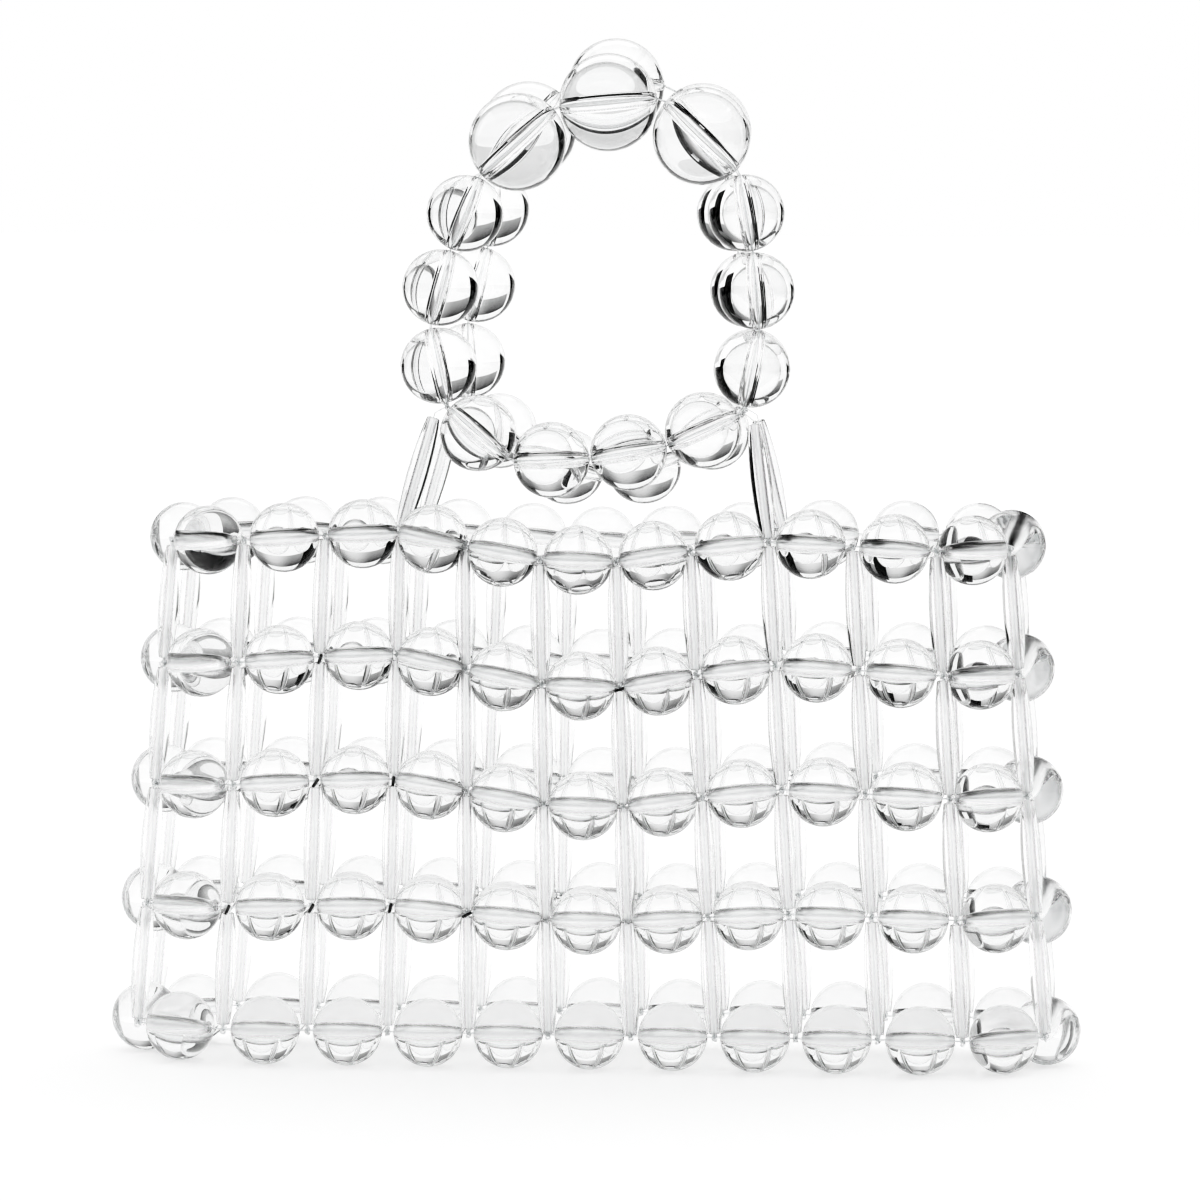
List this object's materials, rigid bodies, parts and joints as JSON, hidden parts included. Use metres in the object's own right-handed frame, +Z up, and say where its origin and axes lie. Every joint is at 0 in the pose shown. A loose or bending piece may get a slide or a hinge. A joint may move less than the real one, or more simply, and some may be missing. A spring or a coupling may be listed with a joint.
{
  "type": "ring handle bag",
  "caption": "Open net handbag of clear round and long acrylic beads on thread, with two round-bead ring handles on link beads.",
  "frame": {"origin": "centre of the outline in X and Y, on the level surface the bag stands on", "axes": "+X along the bag's width, +Y from the front panel to the back panel, +Z up through the ring handles"},
  "size_m": [0.2848, 0.0702, 0.2964],
  "materials": {
    "round_bead": "clear polished acrylic",
    "long_bead": "clear polished acrylic",
    "string": "clear nylon thread, knotted"
  },
  "bodies": {
    "root": {"row_1": "round_bead", "row_2": "round_bead", "row_3": "round_bead", "row_4": "round_bead", "row_5": "round_bead", "front_strand_0": "long_bead", "front_strand_1": "long_bead", "front_strand_2": "long_bead", "front_strand_3": "long_bead", "front_strand_4": "long_bead", "front_strand_5": "long_bead", "front_strand_6": "long_bead", "front_strand_7": "long_bead", "front_strand_8": "long_bead", "front_strand_9": "long_bead", "front_strand_10": "long_bead", "front_strand_11": "long_bead", "front_ring_bead_1": "round_bead", "front_ring_bead_2": "round_bead", "front_ring_bead_3": "round_bead", "front_ring_bead_4": "round_bead", "front_ring_bead_5": "round_bead", "front_ring_bead_6": "round_bead", "front_ring_bead_7": "round_bead", "front_ring_bead_8": "round_bead", "front_ring_bead_9": "round_bead", "front_ring_bead_10": "round_bead", "front_ring_bead_11": "round_bead", "front_ring_bead_12": "round_bead", "front_ring_bead_13": "round_bead", "front_ring_string": "string", "back_strand_0": "long_bead", "back_strand_1": "long_bead", "back_strand_2": "long_bead", "back_strand_3": "long_bead", "back_strand_4": "long_bead", "back_strand_5": "long_bead", "back_strand_6": "long_bead", "back_strand_7": "long_bead", "back_strand_8": "long_bead", "back_strand_9": "long_bead", "back_strand_10": "long_bead", "back_strand_11": "long_bead", "back_ring_bead_1": "round_bead", "back_ring_bead_2": "round_bead", "back_ring_bead_3": "round_bead", "back_ring_bead_4": "round_bead", "back_ring_bead_5": "round_bead", "back_ring_bead_6": "round_bead", "back_ring_bead_7": "round_bead", "back_ring_bead_8": "round_bead", "back_ring_bead_9": "round_bead", "back_ring_bead_10": "round_bead", "back_ring_bead_11": "round_bead", "back_ring_bead_12": "round_bead", "back_ring_bead_13": "round_bead", "back_ring_string": "string"}
  },
  "joints": []
}
